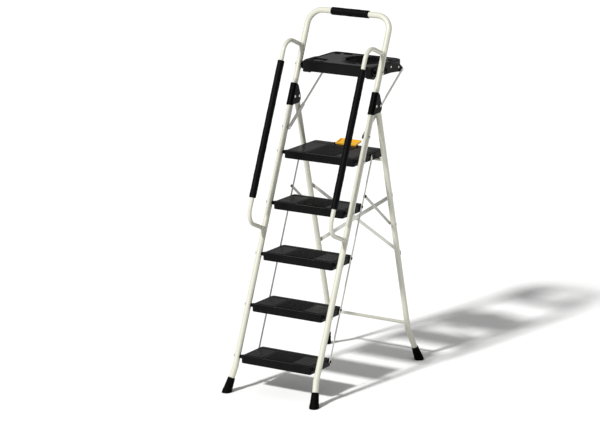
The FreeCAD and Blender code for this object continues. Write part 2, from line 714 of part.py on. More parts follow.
# The skirt under the deck, with its ribs and the bosses that the side plates are riveted to.
skirt = body("tray_skirt", frame_tray())
sketch = sketch_on(skirt, "XY_Plane", tray_under)
rounded(sketch, t_front, t_rear, -t_half, t_half, 12, 34)
pad(skirt, sketch, D["tray_tall"] - 5)
sketch = sketch_on(skirt, "XY_Plane", tray_under - 1)
rounded(sketch, t_front + 4, t_rear - 4, 4 - t_half, t_half - 4, 8, 30)
cut(skirt, sketch, D["tray_tall"], flip=True)
for across in (-130, -55, 148):
    sketch = sketch_on(skirt, "YZ_Plane", across - 1.5)
    outline(sketch, [(t_front + 2, deck - 10), (t_rear - 2, deck - 10), (t_rear - 2, deck), (t_front + 2, deck)])
    pad(skirt, sketch, 3)
bosses = ((150, 4), (225, -8))
for side in both:
    for centre in bosses:
        sketch = sketch_on(skirt, "YZ_Plane", side * (t_half - 1) if side > 0 else -(t_half + 6))
        circle(sketch, centre, 7)
        pad(skirt, sketch, 7)
sketch = sketch_on(skirt, "YZ_Plane")
for centre in bosses:
    circle(sketch, centre, 2.5)
cut(skirt, sketch, 460, both=True)


def lug(side):
    """A round-bottomed lug under the skirt's front corner."""
    def make(item):
        sketch = sketch_on(item, "YZ_Plane", side * (t_half - 33) if side > 0 else -t_half)
        outline(sketch, [(-20.5, tray_under), (18.5, tray_under)], {0: (24, 1)})
        pad(item, sketch, 33)
    return make


group("tray_lugs", [lug(s) for s in both], frame_tray())


def guide_path(steps=24):
    """The guide pin's path in the tray's frame while the strut and tray fold at one ratio."""
    length, start = D["strut_length"].value, math.radians(90 - D["strut_turn"].value)
    back, down = D["tray_back"].value, D["tray_down"].value
    points = []
    for number in range(-1, steps + 2):
        share = number / steps
        angle = start + math.radians(D["strut_fold"].value) * share
        turn = math.radians(D["tray_turn"].value) * share
        gone_y = length * (math.cos(angle) - math.cos(start))
        gone_z = length * (math.sin(angle) - math.sin(start))
        y, z = -back - gone_y, down - gone_z
        points.append((y * math.cos(turn) + z * math.sin(turn) + back,
                       -y * math.sin(turn) + z * math.cos(turn) - down))
    return points


def bracket_shape(side):
    """A steel plate with the curved slot that rides on the guide pin."""
    near = D["plate_in"].value
    low = near if side > 0 else -(near + 3.0)
    corners = [(-24, -6), (-14, -18), (16, -25), (150, -25), (222, -31), (262, -38), (268, -16), (240, 4),
               (150, 19), (100, 23.4), (20, 23.4), (-16, 16), (-24, 8)]
    wire = Part.makePolygon([FreeCAD.Vector(low, y, z) for y, z in corners + corners[:1]])
    plate = Part.Face(wire).extrude(FreeCAD.Vector(3, 0, 0))
    half_slot = D["rivet_r"].value + 0.25
    points = guide_path()[1:-1]
    tools = []
    for (ay, az), (by, bz) in zip(points, points[1:]):
        length = math.hypot(by - ay, bz - az)
        square = ((az - bz) / length * half_slot, (by - ay) / length * half_slot)
        ring = [(ay + square[0], az + square[1]), (by + square[0], bz + square[1]),
                (by - square[0], bz - square[1]), (ay - square[0], az - square[1])]
        tools.append(Part.Face(Part.makePolygon(
            [FreeCAD.Vector(low - 1, y, z) for y, z in ring + ring[:1]])).extrude(FreeCAD.Vector(5, 0, 0)))
    for y, z in points:
        tools.append(Part.makeCylinder(half_slot, 5, FreeCAD.Vector(low - 1, y, z), FreeCAD.Vector(1, 0, 0)))
    for y, z in bosses:
        tools.append(Part.makeCylinder(2.5, 5, FreeCAD.Vector(low - 1, y, z), FreeCAD.Vector(1, 0, 0)))
    tools.append(Part.makeCylinder(4.0, 5, FreeCAD.Vector(low - 1, D["tray_back"].value,
                                                         -D["tray_down"].value), FreeCAD.Vector(1, 0, 0)))
    return plate.cut(tools[0].fuse(tools[1:]))


for name, side in SIDES:
    plate = doc.addObject("Part::Feature", "tray_bracket_" + name)
    plate.Shape = bracket_shape(side)
    plate.Label = "tray_bracket_" + name
    place(plate, frame_tray())
    NODES.append(plate)
group("tray_bracket_rivets", [rivet(s, centre, size(196), size(206), 0, 1.4, 2.5, 5)
                              for centre in bosses for s in both], frame_tray())
group("strut_rivets", [rivet(s, (D["tray_back"], -D["tray_down"]), size(203), size(211.3), 1, 2, 4, 7)
                       for s in both], frame_tray())

for name, side in SIDES:
    strut = body("strut_" + name, frame_strut())
    start = side * D["strut_in"] if side > 0 else -(D["strut_in"] + thick)
    sketch = sketch_on(strut, "YZ_Plane", start)
    stadium(sketch, (0, 0), (0, D["strut_length"]), D["strut_half"])
    pad(strut, sketch, thick)
    sketch = sketch_on(strut, "YZ_Plane", start)
    stadium(sketch, (0, 0), (0, 160), 11)
    pad(strut, sketch, thick)
    sketch = sketch_on(strut, "YZ_Plane")
    circle(sketch, (0, 0), D["rivet_r"] + D["running"])
    circle(sketch, (0, D["strut_length"]), D["rivet_r"] + D["running"])
    cut(strut, sketch, 460, both=True)

# ---- latch ---------------------------------------------------------------------------------

rear, over = D["deep_rear"], D["step_top"]
hinge_y, hinge_z = rear - 36, over + 5.5
latch = body("latch", frame_step(5))
sketch = sketch_on(latch, "YZ_Plane", -60)
circle(sketch, (hinge_y, hinge_z), 4.2)
pad(latch, sketch, 120)


def tilted(along, up):
    """A point of the handle's plate, which rises backwards from the pin at 13 degrees."""
    lean = math.radians(13)
    return (hinge_y + (along * math.cos(lean) - up * math.sin(lean)),
            hinge_z + (along * math.sin(lean) + up * math.cos(lean)))


sketch = sketch_on(latch, "YZ_Plane", -60)
outline(sketch, [tilted(-4.5, -2.5), tilted(54, -2.5), tilted(54, 4.5), tilted(-4.5, 4.5)])
pad(latch, sketch, 120)
round_edges(latch, lambda e: e.Curve.TypeId == "Part::GeomLine" and 6.9 < e.Length < 7.1, 4)
sketch = sketch_on(latch, "YZ_Plane", -53)
outline(sketch, [tilted(8, 0), tilted(47, 0), tilted(49, 7), tilted(6, 7)])
cut(latch, sketch, 106, flip=True)
for side in both:
    sketch = sketch_on(latch, "YZ_Plane", side * 30 - 5)
    outline(sketch, [(rear + 0.8, over + 12.5), (rear + 0.8, -43.5), (rear - 42, -43.5), (rear - 42, -47.5),
                     (rear + 4.8, -47.5), (rear + 4.8, over + 12.5)])
    pad(latch, sketch, 10)
sketch = sketch_on(latch, "YZ_Plane")
circle(sketch, (hinge_y, hinge_z), 2 + D["running"])
cut(latch, sketch, 140, both=True)
group("latch_pin", [rivet(1, (hinge_y, hinge_z), size(-67.5), size(67.5), 1, 1, 2, 3.4)], frame_step(5))

# ---- checks and export ---------------------------------------------------------------------

doc.recompute()
for item in doc.Objects:
    if "Invalid" in item.State or "Error" in item.State:
        raise RuntimeError("%s failed: %s" % (item.Label, item.State))
os.makedirs("parts", exist_ok=True)
for item in NODES:
    if item.Shape.isNull() or not item.Shape.isValid() or not item.Shape.Solids:
        raise RuntimeError(item.Label + " has no valid solid")
    item.Shape.exportStep("parts/%s.step" % item.Label)
    print("%-28s %2d solid %10.0f mm3" % (item.Label, len(item.Shape.Solids), item.Shape.Volume))
whole = Part.makeCompound([item.Shape for item in NODES]).BoundBox
print("nodes", len(NODES), "box", [round(v, 2) for v in (whole.XMin, whole.XMax, whole.YMin, whole.YMax,
                                                         whole.ZMin, whole.ZMax)])
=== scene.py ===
import json
import math

import bpy
import numpy as np
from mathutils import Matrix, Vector


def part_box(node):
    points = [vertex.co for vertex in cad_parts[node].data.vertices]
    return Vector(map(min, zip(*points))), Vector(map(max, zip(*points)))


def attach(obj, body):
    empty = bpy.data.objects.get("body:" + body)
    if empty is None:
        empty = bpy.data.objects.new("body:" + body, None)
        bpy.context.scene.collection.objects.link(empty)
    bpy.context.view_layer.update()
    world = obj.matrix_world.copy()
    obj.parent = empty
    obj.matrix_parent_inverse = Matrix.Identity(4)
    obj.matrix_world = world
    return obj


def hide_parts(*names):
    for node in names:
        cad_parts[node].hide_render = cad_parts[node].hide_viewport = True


bl_info = {
    "name": "Step Ladder Finish",
    "version": (1, 0, 0),
    "blender": (4, 5, 0),
    "location": "3D View > Sidebar > Ladder",
    "description": "Surfaces, finishes and a stage for a folding step ladder",
    "category": "Object",
}

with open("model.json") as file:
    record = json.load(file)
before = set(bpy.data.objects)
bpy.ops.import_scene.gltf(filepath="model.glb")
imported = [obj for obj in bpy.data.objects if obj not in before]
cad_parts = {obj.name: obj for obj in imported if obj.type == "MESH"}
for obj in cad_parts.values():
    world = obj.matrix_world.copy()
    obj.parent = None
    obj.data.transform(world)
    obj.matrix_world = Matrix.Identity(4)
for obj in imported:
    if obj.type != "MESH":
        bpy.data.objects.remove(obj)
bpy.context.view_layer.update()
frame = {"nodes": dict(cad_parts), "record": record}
NODES = frame["nodes"]
RECORD = frame["record"]
JOINTS = {joint["name"]: joint for joint in RECORD["behaviour"]["joints"]}
PIVOT = {name: np.array(joint.get("pos_m", (0, 0, 0)), float) for name, joint in JOINTS.items()}
SIDES = (("left", -1.0), ("right", 1.0))

# Unit vectors up the leaning front rails and down the rear legs, and where the rails meet the floor.
RISE = PIVOT["step_5_tilt"] - PIVOT["step_1_tilt"]
RISE = RISE / np.linalg.norm(RISE)
FOOT = PIVOT["step_1_tilt"] - RISE * (PIVOT["step_1_tilt"][2] / RISE[2])
LEG_FALL = PIVOT["link_pivot_left"] - PIVOT["rear_fold"]
LEG_FALL = LEG_FALL / np.linalg.norm(LEG_FALL)

TRAY_NODES = ("tray", "tray_skirt", "tray_lugs")
RAIL_HALF = 0.231        # middle of the ladder to the middle of a rail
RAIL_RADIUS = 0.0150     # outside of a rail's tube
TRAY_PIN_ALONG = 1.651   # tray pivot, along the rail from the floor
HINGE_PIN_ALONG = 1.488  # lower hinge rivet, along the rail from the floor


# ---- sizes and colours a user may change ---------------------------------------------------

class TreadSizes(bpy.types.PropertyGroup):
    rib_pitch: bpy.props.FloatProperty(name="Rib pitch", description="Distance between the tread's ribs",
                                       default=0.012, min=0.004, max=0.02, subtype="DISTANCE", unit="LENGTH")
    rib_height: bpy.props.FloatProperty(name="Rib height", description="How far each rib stands up",
                                        default=0.0030, min=0.0, max=0.004, subtype="DISTANCE",
                                        unit="LENGTH")
    panel_height: bpy.props.FloatProperty(name="Panel height",
                                          description="Smooth side panels above the tread",
                                          default=0.0020, min=0.0, max=0.004, subtype="DISTANCE",
                                          unit="LENGTH")
    rib_half_width: bpy.props.FloatProperty(name="Ribbed half width",
                                            description="Half the ribbed panel's width",
                                            default=0.078, min=0.03, max=0.15, subtype="DISTANCE",
                                            unit="LENGTH")


class FinishColours(bpy.types.PropertyGroup):
    tube: bpy.props.FloatVectorProperty(name="Tube", description="Powder coat on the tubes", size=3,
                                        default=(0.565, 0.56, 0.475), min=0, max=1, subtype="COLOR")
    bar: bpy.props.FloatVectorProperty(name="Flat bars", description="Coat on rods, links and braces", size=3,
                                       default=(0.50, 0.50, 0.46), min=0, max=1, subtype="COLOR")
    tread: bpy.props.FloatVectorProperty(name="Tread", description="Moulded treads and tray", size=3,
                                         default=(0.0026, 0.0026, 0.0028), min=0, max=1, subtype="COLOR")
    fitting: bpy.props.FloatVectorProperty(name="Fittings", size=3,
                                           description="Hinge covers, clips and spacers",
                                           default=(0.0012, 0.0012, 0.0014), min=0, max=1, subtype="COLOR")
    rubber: bpy.props.FloatVectorProperty(name="Rubber", description="Boots", size=3,
                                          default=(0.0010, 0.0010, 0.0010), min=0, max=1, subtype="COLOR")
    foam: bpy.props.FloatVectorProperty(name="Foam", description="Grip sleeves", size=3,
                                        default=(0.0012, 0.0012, 0.0014), min=0, max=1, subtype="COLOR")
    latch: bpy.props.FloatVectorProperty(name="Latch", description="Latch handle", size=3,
                                         default=(0.78, 0.40, 0.014), min=0, max=1, subtype="COLOR")
    zinc: bpy.props.FloatVectorProperty(name="Zinc", description="Rivets and pins", size=3,
                                        default=(0.62, 0.62, 0.60), min=0, max=1, subtype="COLOR")


class StageSizes(bpy.types.PropertyGroup):
    azimuth: bpy.props.FloatProperty(name="Azimuth", description="Camera's turn about the ladder",
                                     default=math.radians(31.76), subtype="ANGLE", unit="ROTATION")
    elevation: bpy.props.FloatProperty(name="Elevation", description="Camera's height angle",
                                       default=math.radians(13.68), subtype="ANGLE", unit="ROTATION")
    distance: bpy.props.FloatProperty(name="Distance", description="Camera to the ladder",
                                      default=13.7257, subtype="DISTANCE", unit="LENGTH")
    lens: bpy.props.FloatProperty(name="Lens", description="Focal length in millimetres", default=170.2)
    aim: bpy.props.FloatVectorProperty(name="Aim", description="Point at the middle of the view", size=3,
                                       default=(-0.0112, -0.1949, 0.8767), subtype="XYZ", unit="LENGTH")


# ---- surfaces ------------------------------------------------------------------------------

def new_piece(name, points, faces, material, body, smooth=True):
    """Puts computed points and faces into a mesh object, gives it a finish and a body to ride on."""
    mesh = bpy.data.meshes.new(name)
    mesh.from_pydata(points.tolist(), [], list(faces))
    mesh.update()
    mesh.polygons.foreach_set("use_smooth", np.full(len(mesh.polygons), smooth))
    piece = bpy.data.objects.new(name, mesh)
    bpy.context.scene.collection.objects.link(piece)
    mesh.materials.append(material)
    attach(piece, body)
    return piece


def join_parts(parts):
    """Stacks several (points, faces) sets into one set."""
    points, faces, shift = [], [], 0
    for part_points, part_faces in parts:
        points.append(part_points)
        faces += [tuple(index + shift for index in face) for face in part_faces]
        shift += len(part_points)
    return np.concatenate(points), faces


def square_set(axis):
    """The axis at unit length, and two unit vectors square to it and to each other."""
    axis = np.asarray(axis, float) / np.linalg.norm(axis)
    helper = np.array([1.0, 0, 0]) if abs(axis[0]) < 0.9 else np.array([0, 1.0, 0])
    one = np.cross(axis, helper)
    one /= np.linalg.norm(one)
    return axis, one, np.cross(axis, one)


def turned(profile, base, axis, count=32, wave=None):
    """A profile of (distance along the axis, radius) pairs turned about the axis: each point is the base,
    plus the axis times the distance, plus the radius times (cos a, sin a) in the plane square to it.
    The first and last pairs have no radius, so both ends close at a pole."""
    axis, one, two = square_set(axis)
    profile = np.asarray(profile, float)
    inner = profile[1:-1]
    turn = np.linspace(0, 2 * np.pi, count, endpoint=False)
    radius = np.repeat(inner[:, 1:2], count, axis=1)
    if wave is not None:
        radius = radius + wave(inner[:, 0:1], turn[None, :])
    ring = (np.cos(turn)[:, None] * one + np.sin(turn)[:, None] * two)[None]
    body = np.asarray(base) + inner[:, 0, None, None] * axis + radius[..., None] * ring
    poles = [base + axis * profile[0, 0], base + axis * profile[-1, 0]]
    points = np.concatenate([body.reshape(-1, 3), poles])
    rows, cols = np.meshgrid(np.arange(len(inner) - 1), np.arange(count), indexing="ij")
    here, right = rows * count + cols, rows * count + (cols + 1) % count
    quads = np.stack([here, right, right + count, here + count], -1).reshape(-1, 4)
    low, high, last = len(inner) * count, len(inner) * count + 1, (len(inner) - 1) * count
    step = np.arange(count)
    caps = [np.stack([np.full(count, low), (step + 1) % count, step], -1),
            np.stack([np.full(count, high), last + step, last + (step + 1) % count], -1)]
    faces = [tuple(face) for face in quads.tolist()]
    for cap in caps:
        faces += [tuple(face) for face in cap.tolist()]
    return points, faces


def dome(base, axis, radius, height, sink=0.0006):
    """A low rivet head: radius times sin t, height times cos t, from crown to rim, with a flat back."""
    angle = np.linspace(0, np.pi / 2, 9)[1:]
    profile = [(height, 0)] + [(height * math.cos(t), radius * math.sin(t)) for t in angle]
    profile += [(-sink, radius), (-sink, 0)]
    return turned(profile[::-1], np.asarray(base, float), axis, 24)


def bead(centre, axis, radius, thick, count=48):
    """A closed ring: a circle of the given thickness carried round a circle of the given radius."""
    axis, one, two = square_set(axis)
    around, across = np.meshgrid(np.linspace(0, 2 * np.pi, count, endpoint=False),
                                 np.linspace(0, 2 * np.pi, 12, endpoint=False), indexing="ij")
    spoke = np.cos(around)[..., None] * one + np.sin(around)[..., None] * two
    points = centre + spoke * (radius + thick * np.cos(across))[..., None] \
        + axis * (thick * np.sin(across))[..., None]
    return points.reshape(-1, 3), loop_faces(count, 12)


def loop_faces(rows, cols):
    """Quads of a grid that closes on itself both ways."""
    one, two = np.meshgrid(np.arange(rows), np.arange(cols), indexing="ij")
    after, beside = (one + 1) % rows, (two + 1) % cols
    quads = np.stack([one * cols + two, one * cols + beside, after * cols + beside, after * cols + two], -1)
    return [tuple(face) for face in quads.reshape(-1, 4).tolist()]


def rounded_loop(low, high, front, rear, per_corner=12):
    """Points of a rectangle with round corners: each corner is a quarter circle, of the front radius at the
    low y side and of the rear radius at the high y side."""
    angle = np.linspace(0, np.pi / 2, per_corner)
    corners = [(high[0] - rear, high[1] - rear, rear), (low[0] + rear, high[1] - rear, rear),
               (low[0] + front, low[1] + front, front), (high[0] - front, low[1] + front, front)]
    return np.concatenate([np.stack([x + radius * np.cos(angle + quarter * np.pi / 2),
                                     y + radius * np.sin(angle + quarter * np.pi / 2)], -1)
                           for quarter, (x, y, radius) in enumerate(corners)])


def ring_loop(x, y, radius, count=96):
    """Points of a level circle."""
    turn = np.linspace(0, 2 * np.pi, count, endpoint=False)
    return np.stack([x + radius * np.cos(turn), y + radius * np.sin(turn)], -1)


def edging(loop, level, half, height):
    """A rounded strip round a level loop: sideways half cos t, upwards height sin t, sunk a little."""
    ahead = np.roll(loop, -1, axis=0) - np.roll(loop, 1, axis=0)
    ahead /= np.linalg.norm(ahead, axis=1)[:, None]
    side = np.stack([ahead[:, 1], -ahead[:, 0]], -1)
    turn = np.linspace(0, 2 * np.pi, 12, endpoint=False)
    across = half * np.cos(turn)
    up = np.where(np.sin(turn) > 0, height * np.sin(turn), 0.0006 * np.sin(turn))
    flat = loop[:, None, :] + side[:, None, :] * across[None, :, None]
    points = np.concatenate([flat, np.broadcast_to((level + up)[None, :, None], flat.shape[:2] + (1,))], -1)
    return points.reshape(-1, 3), loop_faces(len(loop), 12)


def slab(x, y, top, bottom):
    """A closed sheet over a grid: upper points at the top height, lower at the bottom, joined at the rim."""
    rows, cols = x.shape
    upper = np.stack([x, y, top], -1).reshape(-1, 3)
    lower = np.stack([x, y, np.full_like(x, bottom)], -1).reshape(-1, 3)
    one, two = np.meshgrid(np.arange(rows - 1), np.arange(cols - 1), indexing="ij")
    quad = np.stack([one * cols + two, (one + 1) * cols + two, (one + 1) * cols + two + 1,
                     one * cols + two + 1], -1).reshape(-1, 4)
    edge = np.concatenate([np.arange(cols), np.arange(1, rows) * cols + cols - 1,
                           (rows - 1) * cols + np.arange(cols - 2, -1, -1),
                           np.arange(rows - 2, 0, -1) * cols])
    after, count = np.roll(edge, -1), rows * cols
    wall = np.stack([edge, after, after + count, edge + count], -1)
    faces = np.concatenate([quad, quad[:, ::-1] + count, wall])
    return np.concatenate([upper, lower]), [tuple(face) for face in faces.tolist()]


def ease(value, low, high):
    """0 below low, 1 above high, and the smooth cubic 3t^2 - 2t^3 between."""
    share = np.clip((value - low) / (high - low), 0, 1)
    return share * share * (3 - 2 * share)


def window(value, low, high, edge):
    """1 inside low to high, falling smoothly to 0 over the edge."""
    return ease(value, low, low + edge) * (1 - ease(value, high - edge, high))


# ---- shader node groups --------------------------------------------------------------------

def group_shell(name, inputs, outputs):
    tree = bpy.data.node_groups.new(name, "ShaderNodeTree")
    for label, kind, value in inputs:
        socket = tree.interface.new_socket(label, in_out="INPUT", socket_type=kind)
        if value is not None:
            socket.default_value = value
    for label, kind in outputs:
        tree.interface.new_socket(label, in_out="OUTPUT", socket_type=kind)
    return tree, tree.nodes.new("NodeGroupInput"), tree.nodes.new("NodeGroupOutput")


def math_node(tree, kind, first, second=None, third=None):
    node = tree.nodes.new("ShaderNodeMath")
    node.operation = kind
    for socket, value in zip(node.inputs, (first, second, third)):
        if value is None:
            continue
        if isinstance(value, (int, float)):
            socket.default_value = value
        else:
            tree.links.new(value, socket)
    return node.outputs[0]


def noise_node(tree, vector, scale, detail=3.0, rough=0.5):
    node = tree.nodes.new("ShaderNodeTexNoise")
    node.inputs["Detail"].default_value = detail
    node.inputs["Roughness"].default_value = rough
    tree.links.new(vector, node.inputs["Vector"])
    if isinstance(scale, (int, float)):
        node.inputs["Scale"].default_value = scale
    else:
        tree.links.new(scale, node.inputs["Scale"])
    return node.outputs["Fac"]


def grain_group():
    """Fine moulded or sprayed grain: two sizes of noise added into one height."""
    tree, begin, end = group_shell("surface_grain", [("Vector", "NodeSocketVector", None),
                                                     ("Scale", "NodeSocketFloat", 900.0),
                                                     ("Coarse", "NodeSocketFloat", 120.0)],
                                   [("Height", "NodeSocketFloat")])
    fine = noise_node(tree, begin.outputs["Vector"], begin.outputs["Scale"], 4.0, 0.6)
    coarse = noise_node(tree, begin.outputs["Vector"], begin.outputs["Coarse"], 2.0)
    tree.links.new(math_node(tree, "MULTIPLY_ADD", coarse, 0.5, fine), end.inputs["Height"])
    return tree


def handling_group():
    """Handling marks: broad cloudy patches broken up by finer noise, as a 0 to 1 mask."""
    tree, begin, end = group_shell("handling_marks", [("Vector", "NodeSocketVector", None),
                                                      ("Scale", "NodeSocketFloat", 9.0),
                                                      ("Amount", "NodeSocketFloat", 0.5)],
                                   [("Mask", "NodeSocketFloat")])
    broad = noise_node(tree, begin.outputs["Vector"], begin.outputs["Scale"], 5.0, 0.6)
    fine = noise_node(tree, begin.outputs["Vector"], 160.0, 3.0)
    both = math_node(tree, "MULTIPLY_ADD", fine, 0.35, broad)
    ramp = tree.nodes.new("ShaderNodeMapRange")
    ramp.inputs["From Min"].default_value = 0.55
    ramp.inputs["From Max"].default_value = 0.85
    tree.links.new(both, ramp.inputs["Value"])
    tree.links.new(math_node(tree, "MULTIPLY", ramp.outputs["Result"], begin.outputs["Amount"]),
                   end.inputs["Mask"])
    return tree


def edge_group():
    """Edge wear: where the surface is sharply convex, broken up by noise, as a 0 to 1 mask."""
    tree, begin, end = group_shell("edge_wear", [("Vector", "NodeSocketVector", None),
                                                 ("Amount", "NodeSocketFloat", 0.5)],
                                   [("Mask", "NodeSocketFloat")])
    shape = tree.nodes.new("ShaderNodeNewGeometry")
    ramp = tree.nodes.new("ShaderNodeMapRange")
    ramp.inputs["From Min"].default_value = 0.53
    ramp.inputs["From Max"].default_value = 0.62
    tree.links.new(shape.outputs["Pointiness"], ramp.inputs["Value"])
    breakup = noise_node(tree, begin.outputs["Vector"], 60.0, 4.0)
    both = math_node(tree, "MULTIPLY", ramp.outputs["Result"], breakup)
    tree.links.new(math_node(tree, "MULTIPLY", both, begin.outputs["Amount"]), end.inputs["Mask"])
    return tree


def finish(name, groups, colour, worn, rough, rough_worn, grain, coarse, bump, marks=0.5, metallic=0.0,
           coat=0.0, coat_rough=0.1, sheen=0.0, specular=0.5, depth=0.0004):
    """A material from the shared groups: marks and wear shift colour and roughness, grain gives relief."""
    material = bpy.data.materials.new(name)
    material.use_nodes = True
    tree = material.node_tree
    shader = tree.nodes["Principled BSDF"]
    place = tree.nodes.new("ShaderNodeTexCoord").outputs["Object"]
    shader.inputs["Metallic"].default_value = metallic
    shader.inputs["Coat Weight"].default_value = coat
    shader.inputs["Coat Roughness"].default_value = coat_rough
    shader.inputs["Sheen Weight"].default_value = sheen
    shader.inputs["Specular IOR Level"].default_value = specular
    used = {}
    for key in ("grain", "marks", "edges"):
        node = tree.nodes.new("ShaderNodeGroup")
        node.node_tree = groups[key]
        tree.links.new(place, node.inputs["Vector"])
        used[key] = node
    used["grain"].inputs["Scale"].default_value = grain
    used["grain"].inputs["Coarse"].default_value = coarse
    used["marks"].inputs["Amount"].default_value = marks
    used["edges"].inputs["Amount"].default_value = 0.7
    both = math_node(tree, "MAXIMUM", used["marks"].outputs["Mask"], used["edges"].outputs["Mask"])
    mix = tree.nodes.new("ShaderNodeMix")
    mix.data_type = "RGBA"
    mix.inputs["A"].default_value = (*colour, 1)
    mix.inputs["B"].default_value = (*worn, 1)
    tree.links.new(both, mix.inputs["Factor"])
    tree.links.new(mix.outputs["Result"], shader.inputs["Base Color"])
    ramp = tree.nodes.new("ShaderNodeMapRange")
    ramp.inputs["To Min"].default_value = rough
    ramp.inputs["To Max"].default_value = rough_worn
    tree.links.new(used["marks"].outputs["Mask"], ramp.inputs["Value"])
    tree.links.new(ramp.outputs["Result"], shader.inputs["Roughness"])
    relief = tree.nodes.new("ShaderNodeBump")
    relief.inputs["Strength"].default_value = bump
    relief.inputs["Distance"].default_value = depth
    tree.links.new(used["grain"].outputs["Height"], relief.inputs["Height"])
    tree.links.new(relief.outputs["Normal"], shader.inputs["Normal"])
    return material


def scaled(colour, factor):
    return tuple(min(1.0, part * factor) for part in colour)


def material_of(slot):
    found = bpy.data.materials.get("finish_" + slot)
    if found is None:
        raise RuntimeError("run the finishes operator first: no finish for " + slot)
    return found


# ---- operators -----------------------------------------------------------------------------

class LADDER_OT_finishes(bpy.types.Operator):
    """Makes the powder coat, plastics, rubber, foam and zinc finishes and puts them on the frame"""
    bl_idname = "ladder.finishes"
    bl_label = "Finishes"

    def execute(self, context):
        paint = context.scene.ladder_colours
        groups = {"grain": grain_group(), "marks": handling_group(), "edges": edge_group()}
        # Name, colour, how far wear shifts it, then: rough, rough where worn, grain, coarse grain, bump.
        for name, colour, fade, values, extra in (
                ("ivory_tube", paint.tube, 0.93, (0.30, 0.38, 260.0, 70.0, 0.10),
                 {"coat": 0.35, "coat_rough": 0.12, "depth": 0.0003}),
                ("grey_bar", paint.bar, 0.9, (0.34, 0.42, 300.0, 80.0, 0.10),
                 {"coat": 0.2, "coat_rough": 0.2, "depth": 0.0003}),
                ("step_plastic", paint.tread, 1.9, (0.24, 0.36, 1500.0, 220.0, 0.12),
                 {"marks": 0.7, "specular": 0.07}),
                ("tray_plastic", paint.tread, 1.9, (0.22, 0.34, 1300.0, 200.0, 0.06),
                 {"marks": 0.6, "specular": 0.10}),
                ("black_plastic", paint.fitting, 2.0, (0.34, 0.46, 1300.0, 200.0, 0.14), {"specular": 0.05}),
                ("black_plate", paint.fitting, 1.8, (0.35, 0.45, 700.0, 120.0, 0.12), {"specular": 0.06}),
                ("black_rubber", paint.rubber, 2.6, (0.62, 0.8, 1100.0, 160.0, 0.3),
                 {"marks": 0.8, "specular": 0.04}),
                ("black_foam", paint.foam, 1.7, (0.5, 0.62, 1700.0, 520.0, 0.5),
                 {"sheen": 0.01, "specular": 0.06, "depth": 0.0005}),
                ("orange_plastic", paint.latch, 0.86, (0.32, 0.42, 900.0, 150.0, 0.1), {}),
                ("zinc", paint.zinc, 0.8, (0.28, 0.4, 800.0, 110.0, 0.12), {"metallic": 1.0})):
            finish("finish_" + name, groups, tuple(colour), scaled(colour, fade), *values, **extra)
        for entry in RECORD["subparts"]:
            piece = NODES[entry["node"]]
            slot = "tray_plastic" if entry["node"] in TRAY_NODES else entry["material_slot"]
            for holder in piece.material_slots:
                holder.material = material_of(slot)
            if not piece.material_slots:
                piece.data.materials.append(material_of(slot))
        return {"FINISHED"}


class LADDER_OT_treads(bpy.types.Operator):
    """Lays the ribbed and panelled anti-slip surface on every tread"""
    bl_idname = "ladder.treads"
    bl_label = "Treads"

    def execute(self, context):
        sizes = context.scene.ladder_treads
        pitch, rib, panel, half = sizes.rib_pitch, sizes.rib_height, sizes.panel_height, sizes.rib_half_width
        for number in range(1, 6):
            low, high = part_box("step_%d" % number)
            level = high[2] if number < 5 else PIVOT["step_5_tilt"][2] + 0.012
            front, rear, wide = low[1] + 0.0045, high[1] - 0.0045, 0.198 - 0.0045
            share, ahead = np.meshgrid(np.linspace(-1, 1, 385), np.linspace(0, 1, 72))
            y = front + (rear - front) * ahead
            near = np.clip(0.0085 - (y - front), 0, 0.0085)
            far = np.clip(0.0125 - (rear - y), 0, 0.0125)
            front_cut = 0.0085 - np.sqrt(0.0085 ** 2 - near ** 2)
            rear_cut = 0.0125 - np.sqrt(0.0125 ** 2 - far ** 2)
            limit = wide - front_cut - rear_cut
            x = share * limit
            back = rear - (0.058 if number == 5 else 0.036)
            inside = 1 - ease(np.abs(x), limit - 0.010, limit - 0.007)
            ribs = (0.5 + 0.5 * np.cos(2 * np.pi * x / pitch)) ** 0.8 * window(x, -half, half, 0.002)
            ribs = ribs * window(y, front + 0.014, back, 0.004) * rib
            side = window(np.abs(x), half + 0.006, 0.198, 0.0025) * inside
            side = side * window(y, front + 0.010, back, 0.003)
            lip = window(y, back + 0.007, rear - 0.005, 0.003) * inside
            if number == 5:
                lip = lip * ease(np.abs(x), 0.072, 0.076)
                side = side * ease(np.abs(x), 0.080, 0.084)
            top = level - 0.0002 + np.maximum(ribs, np.maximum(side, lip) * panel)
            points, faces = slab(x, y, top, level - 0.0012)
            new_piece("tread_surface_%d" % number, points, faces, material_of("step_plastic"),
                      "tread_%d" % number)
        return {"FINISHED"}


